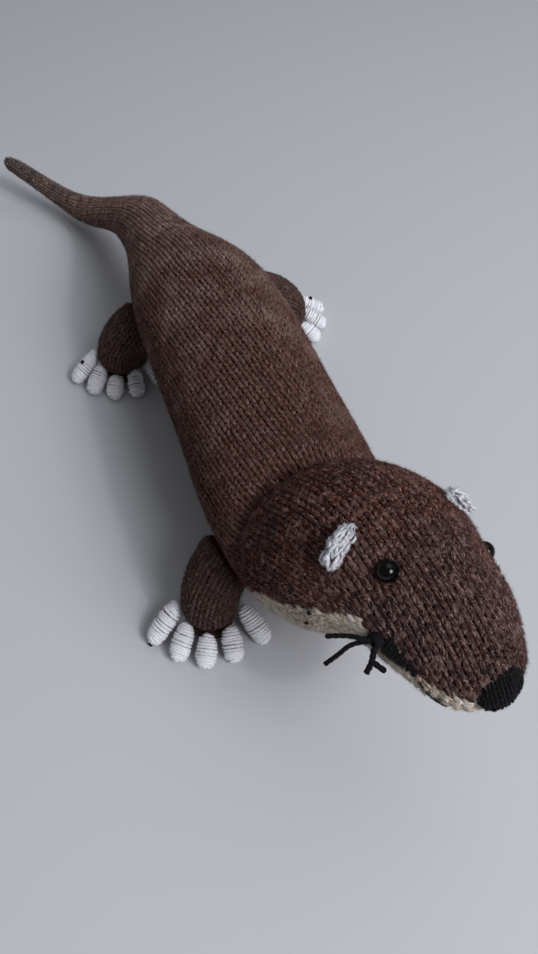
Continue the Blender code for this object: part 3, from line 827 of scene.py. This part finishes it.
def body():
    verts, tris, owner = joined(BODY_NODES)
    owners = tree_of(verts, tris)
    solid = remeshed("body_core", verts, tris, 1.5 * MM, 0, 0)
    core_verts, core_tris = mesh_arrays(solid)
    core = tree_of(core_verts, core_tris)
    bpy.data.objects.remove(solid)

    dents = Dents()
    nape, nape_way = joint_plane("head", "shoulders")
    dents.creases.append((nape, nape_way, 4.5 * MM, 3.4 * MM, (nape[2] - 0.02, nape[2] + 0.01)))
    for name in ("eye_right", "eye_left"):
        low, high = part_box(name)
        dents.spots.append((np.array((low + high) / 2), *EYE_DENT[name]))

    skin = remeshed("lining_body", verts, tris, 2.0 * MM, 6, SKIN_DEPTH)
    points = np.array([v.co for v in skin.data.vertices])
    points = dents.settle(points, np.array([v.normal for v in skin.data.vertices]))
    skin.data.vertices.foreach_set("co", points.ravel())
    skin.data.update()
    placed(skin, LINING, "brown_wool")

    line = middle_line(core_verts)
    trunk = Surface(closed_ends(line[3:], start=84), core)
    head_middle = node_mesh("head")[0].mean(0)
    nose_middle = node_mesh("nose")[0].mean(0)
    head_line = stretch_inside(head_middle, aimed(*HEAD_AXIS), core, 50 * MM, 60 * MM, (0, 6 * MM))
    head = Surface(closed_ends(head_line, start=40, end=50), core)
    muzzle_line = stretch_inside(nose_middle, aimed(*MUZZLE_AXIS), core, 72 * MM, 20 * MM, (0, 9 * MM))
    muzzle = Surface(closed_ends(muzzle_line, end=84), core)

    tubes = (trunk, TRUNK_NODES, 11), (head, HEAD_NODES, 12), (muzzle, MUZZLE_NODES, 13)
    for surface, names, seed in tubes:
        stitches = Stitches(surface, dents, seed, spiral=TRUNK_SPIRAL if surface is trunk else 0.0)
        for trim in ("nose", "ear_right", "ear_left"):
            stitches = apart(stitches, tree_of(*node_mesh(trim)), 0.3 * MM)
        nearest = np.array([owner[owners.find_nearest(Vector(p))[2]] for p in stitches.anchors])
        for name in names:
            chosen = stitches.pick(nearest == BODY_NODES.index(name))
            finish, slot = WOOLS[name], ("cream_wool" if name in CREAM_NODES else "brown_wool")
            each = FIBRES_PER_STITCH if surface is trunk else HEAD_FIBRES
            knitted("knit_" + name, chosen, finish, slot, [name])
            fuzz("fibres_" + name, chosen, finish, slot, each)
    return core, dents


def outside(stitches, core, clear):
    """Only the stitches that stand at least this far out of a solid."""
    return stitches.pick(height_over(stitches.anchors, core) > clear)


def apart(stitches, tree, room):
    """Only the stitches that aren't under a piece sewn on there."""
    away = np.array([tree.find_nearest(Vector(p))[3] for p in stitches.anchors])
    return stitches.pick(away > room)


def leg(paw, core, dents, seed):
    node = "leg_" + paw
    verts, tris = node_mesh(node)
    tree = tree_of(verts, tris)
    low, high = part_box("palm_" + paw)
    middle = np.array((low + high) / 2)
    middle[2] = 0
    side = 1 if paw.endswith("right") else -1
    points = np.array([(x * side, y, z) for x, y, z in LEG_LINES[paw.split("_")[0]]]) * MM + middle
    line = blurred(resampled(points, STATION), 3.0)[::-1]
    line = line[height_over(line, tree) < 0]
    surface = Surface(closed_ends(line, start=70), tree, 0.03)
    stitches = outside(Stitches(surface, dents, seed), core, 0.3 * MM)
    knitted("knit_" + node, stitches, WOOLS["leg"], "brown_wool", [node])
    fuzz("fibres_" + node, stitches, WOOLS["leg"], "brown_wool", FIBRES_PER_STITCH)
    skin = remeshed("lining_" + node, verts, tris, 1.5 * MM, 4, SKIN_DEPTH)
    placed(skin, LINING, "brown_wool")


# Paws, face and trim

def toe_line(verts, palm_middle):
    """A toe's middle line, from its root at the leg to where its tip starts to close."""
    middle, way = long_axis(verts)
    if way @ (middle - palm_middle) < 0:
        way = -way
    reach = (verts - middle) @ way
    ends = middle + way * (reach.min() + 0.8 * MM), middle + way * (reach.max() - TOE_ROUND)
    return resampled(np.array(ends), 1 * MM), middle + way * reach.max()


def paw_pieces(paw, seed):
    """The closed sole under a leg, and the five toes wound with silver-grey yarn that are sewn round it."""
    low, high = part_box("palm_" + paw)
    middle = np.array((low + high) / 2)
    verts, tris = node_mesh("palm_" + paw)
    top = np.array((middle[0], middle[1], high.z - 1.5 * MM))
    line = resampled(np.array((top, top - UP * (high.z - 3.5 * MM))), 1 * MM)
    surface = Surface(closed_ends(line, start=84, end=84, steps=7), tree_of(verts, tris), 0.03, inwards=True)
    points, normals = wound_line(surface, TOE_WIND, TOE_YARN, seed)
    yarn("yarn_palm_" + paw, [(points, normals)], TOE_YARN, 3.4 * MM, SHADED_LEG_WOOL, "brown_wool", ["palm_" + paw])
    sole = remeshed("stuffing_palm_" + paw, verts, tris, 0.9 * MM, 1, 0.75 * MM)
    placed(sole, LINING, "brown_wool")

    names = [f"toe_{paw}_{i}" for i in range(1, 6)]
    verts, tris, _ = joined(names)
    stuffing = remeshed("stuffing_toes_" + paw, verts, tris, 0.8 * MM, 1, 0.4 * MM)
    placed(stuffing, GREY_CORE, "silver_grey_yarn")
    for i, name in enumerate(names):
        verts, tris = node_mesh(name)
        line, tip = toe_line(verts, middle)
        ends = closed_ends(line, start=60, end=84, steps=7)
        surface = Surface(ends, tree_of(verts, tris), 0.03, inwards=True, grow=TOE_GROW)
        points, normals = wound_line(surface, TOE_WIND, TOE_YARN, seed + 1 + i)
        points[:, 2] = np.maximum(points[:, 2], TOE_YARN)
        slubs = np.random.default_rng(seed + 6 + i).normal(1, SLUB, len(points) // 2 + 2)
        slubs = np.interp(np.arange(len(points)) / 2, np.arange(len(slubs)), slubs)
        yarn("yarn_" + name, [(points, normals)], [TOE_YARN * slubs[:, None]], 2.4 * MM, GREY_YARN,
             "silver_grey_yarn", [name])
        if i == 0:
            out = unit((tip - middle) * (1, 1, 0))
            knot = tip * (1, 1, 0) + out * 0.2 * MM + UP * 1.6 * MM
            if paw.startswith("hind"):
                where, out = surface.sample(np.array(len(surface.grid) * 0.5), np.array(0.25))
                knot = where + out * 0.2 * MM
            french_knot("knot_" + paw, knot, out, 0.9 * MM)


def french_knot(name, middle, out, radius):
    """Three turns of black yarn drawn tight."""
    side = unit(np.cross(out, UP))
    rise = np.cross(side, out)
    turn = np.linspace(0, 6 * math.pi, 50)[:, None]
    spread = radius * (0.45 + 0.35 * np.sin(turn * 0.27))
    points = middle + (side * np.cos(turn) + rise * np.sin(turn)) * spread
    points = points + out * radius * 0.5 * np.cos(turn * 0.5)
    yarn(name, [(points, unit(points - middle + out * 0.2 * radius))], 0.42 * MM, 1.6 * MM, BLACK_YARN,
         "black_wool")


def egg(middle, axes, half):
    """The tree of an egg-shaped solid with these half sizes along its axes."""
    bm = bmesh.new()
    bmesh.ops.create_uvsphere(bm, u_segments=48, v_segments=24, radius=1.0)
    bmesh.ops.triangulate(bm, faces=bm.faces)
    verts = np.array([v.co for v in bm.verts]) * half @ np.array(axes) + middle
    tris = np.array([[v.index for v in face.verts] for face in bm.faces])
    bm.free()
    return verts, tris


def ear(name, core, seed):
    """A little ear of thick grey yarn, crocheted in uneven, bulky stitches."""
    verts, _ = node_mesh(name)
    middle, way = long_axis(verts)
    base, out = on_skin([middle], core)
    out = unit(out[0] - way * (out[0] @ way))
    half = np.array((np.ptp(verts @ way) / 2 + 0.5 * MM, *EAR_HALF[name]))
    verts, tris = egg(base[0], (way, np.cross(out, way), out), half)
    line = straight_line(base[0], way, half[0] - 3 * MM, half[0] - 3 * MM)
    surface = Surface(closed_ends(line, start=80, end=80, steps=6), tree_of(verts, tris), 0.03)
    stitches = outside(Stitches(surface, Dents(), seed, EAR_STITCH, uneven=5.0), core, -0.5 * MM)
    knitted("knit_" + name, stitches, EAR_YARN, "silver_grey_yarn", [name])
    fuzz("fibres_" + name, stitches, EAR_YARN, "silver_grey_yarn", 45, 1.5 * MM)
    verts = (verts - base[0]) * 0.78 + base[0]
    filling = mesh_object("stuffing_" + name, verts, tris)
    placed(filling, GREY_CORE, "silver_grey_yarn")


def nose_egg():
    """Middle, axes and half sizes of the nose pad, from its node."""
    verts, _ = node_mesh("nose")
    front = aimed(*NOSE_TURN)
    across = unit(np.cross(front, UP))
    high = np.cross(across, front)
    axes = np.array((across, front, high))
    places = verts @ axes.T
    low, top = places.min(0), places.max(0)
    middle = np.array(((low[0] + top[0]) / 2, top[1] - NOSE_DEEP, (low[2] + top[2]) / 2)) @ axes
    half = np.array(((top[0] - low[0]) / 2 + 0.5 * MM, NOSE_DEEP, (top[2] - low[2]) / 2 + 0.9 * MM))
    return middle, axes, half


def nose(core, seed):
    """The nose: a pad knitted in fine black yarn, its columns running up and down."""
    middle, axes, half = nose_egg()
    verts, tris = egg(middle, axes, half)
    line = straight_line(middle, axes[2], half[2] - 2 * MM, half[2] - 2 * MM)
    surface = Surface(closed_ends(line, start=80, end=80, steps=6), tree_of(verts, tris), 0.03)
    stitches = outside(Stitches(surface, Dents(), seed, NOSE_STITCH, uneven=1.6), core, -1.6 * MM)
    knitted("knit_nose", stitches, BLACK_YARN, "black_wool", ["nose"])
    fuzz("fibres_nose", stitches, BLACK_YARN, "black_wool", 6, 1.4 * MM)
    pad = mesh_object("stuffing_nose", (verts - middle) * 0.9 + middle, tris)
    placed(pad, BLACK_CORE, "black_wool")


def ball_of(verts):
    """Middle and radius of the ball that these points lie on."""
    table = np.concatenate((2 * verts, np.ones((len(verts), 1))), 1)
    found = np.linalg.lstsq(table, (verts ** 2).sum(1), rcond=None)[0]
    return found[:3], math.sqrt(found[3] + found[:3] @ found[:3])


def eye(name, core):
    """A bead: a ball drawn in a little at the two ends of its thread hole, sewn down by black thread."""
    verts, _ = node_mesh(name)
    clear = [v for v in verts if core.find_nearest(Vector(v))[3] > 0.8 * MM]
    middle, radius = ball_of(np.array(clear))
    out = np.array(core.find_nearest(Vector(middle))[1])
    bpy.ops.mesh.primitive_uv_sphere_add(segments=64, ring_count=32, radius=radius)
    bead = bpy.context.object
    bead.name = "bead_" + name
    turn = Vector(out).to_track_quat("X", "Z").to_matrix()
    for vert in bead.data.vertices:
        hole = max(0.0, abs(vert.co.z) / radius - 0.93) / 0.07
        vert.co.z -= math.copysign(radius * 0.08 * hole ** 2, vert.co.z)
        vert.co = turn @ vert.co + Vector(middle)
    bead.data.shade_smooth()
    placed(bead, BEAD, "eye_bead", name)
    turns = np.linspace(0, 2 * math.pi, 40)
    side = unit(np.cross(out, UP))
    rise = np.cross(side, out)
    circle = side * np.cos(turns)[:, None] + rise * np.sin(turns)[:, None]
    ring = middle - out * 0.6 * MM + circle * (radius + 0.1 * MM)
    yarn("thread_" + name, [(ring, np.repeat(out[None], len(ring), 0))], 0.38 * MM, 1.6 * MM, BLACK_YARN,
         "black_wool")
    return middle


def from_place(origin, places, side):
    """Points at these places round an origin on the muzzle: out to one side, forward and up in mm."""
    turn = math.radians(MUZZLE_YAW)
    out = -side * np.array((math.cos(turn), math.sin(turn), 0))
    ahead = np.array((math.sin(turn), -math.cos(turn), 0))
    return origin + np.array(places) * MM @ np.array((out, ahead, UP))


def whiskers(name, side, knot):
    """Four strands of stiffened black yarn from a knot at the corner of the mouth, cut off blunt."""
    lines = []
    for strand in WHISKERS:
        places = [(out, forward, rise - out * DROOP[name]) for out, forward, rise in strand]
        line = resampled(flowing(from_place(knot, places, side)), 0.35 * MM)
        lines.append((line, np.repeat(UP[None], len(line), 0)))
    loop = np.linspace(0, 7 * math.pi, 80)
    ball = np.stack((0.5 + 1.2 * np.sin(loop * 0.43), 2.0 * np.cos(loop), 1.5 * np.sin(loop)), 1)
    ball = from_place(knot, ball, side)
    lines.append((ball, unit(ball - knot + UP * 0.01 * MM)))
    yarn("yarn_whiskers_" + name, lines, list(WHISKER_YARNS), WHISKER_PLY, BLACK_YARN, "black_wool",
         ["whiskers_" + name])


def on_skin(points, core, lift=0.0):
    """The nearest places on the knit, stood out by the lift, and its normals there."""
    found = [core.find_nearest(Vector(p))[:2] for p in points]
    normals = np.array([normal for _, normal in found])
    return np.array([where for where, _ in found]) + normals * lift, normals


def mouth(name, core):
    """The line of the mouth, embroidered in satin stitches of black yarn: wide at its corner, and narrow
    at its front."""
    verts, _ = node_mesh("mouth_" + name)
    middle, way = long_axis(verts)
    if way[1] > 0:
        way = -way
    along = (verts - middle) @ way
    across = unit(np.cross(way, UP))
    rise = np.cross(across, way)
    lines = []
    rng = np.random.default_rng(71)
    for share in np.linspace(0.02, 1.0, 46):
        level = along.min() + (along.max() - along.min()) * share
        near = verts[np.abs(along - level) < 1.8 * MM]
        centre = near.mean(0)
        half = (4.0 * (1 - share) ** 0.9 + 0.35) * MM * rng.uniform(0.85, 1.15)
        lean = way * rng.normal(0, 0.35) * MM
        ends = [centre + (rise * half + lean) * k for k in np.linspace(-1, 1, 7)]
        points, normals = on_skin(ends, core, 0.45 * MM)
        points = points - normals * (0.8 * MM * np.abs(np.linspace(-1, 1, 7))[:, None] ** 3)
        lines.append((points, normals))
    yarn("stitches_mouth_" + name, lines, 0.5 * MM, 1.4 * MM, BLACK_YARN, "black_wool", ["mouth_" + name])


def face_stitches(core):
    """The black line on each side of the chin, and the specks of black yarn on the right of the throat."""
    middle = nose_egg()[0]
    for name, side in (("right", 1), ("left", -1)):
        line = resampled(flowing(from_place(middle, CHIN_LINE, side)), 0.5 * MM)
        points, normals = on_skin(line, core, -0.1 * MM)
        yarn("stitches_chin_" + name, [(points, normals)], 0.55 * MM, 2.0 * MM, BLACK_YARN, "black_wool")
    for i, place in enumerate(SPECKS):
        points, normals = on_skin(from_place(middle, [place], 1), core, -0.3 * MM)
        french_knot(f"speck_{i + 1}", points[0], normals[0], 0.9 * MM)


def main():
    floor()
    lights()
    camera()
    bpy.context.scene.view_settings.view_transform = "Standard"
    core, dents = body()
    for i, paw in enumerate(PAWS):
        leg(paw, core, dents, 21 + i)
        paw_pieces(paw, 31 + 10 * i)
    for i, name in enumerate(("ear_right", "ear_left")):
        ear(name, core, 81 + i)
    nose(core, 91)
    face_stitches(core)
    for name, side in (("right", 1), ("left", -1)):
        bead = eye("eye_" + name, core)
        whiskers(name, side, bead + np.array(KNOT_FROM_EYE[name]) * MM)
        mouth(name, core)


main()
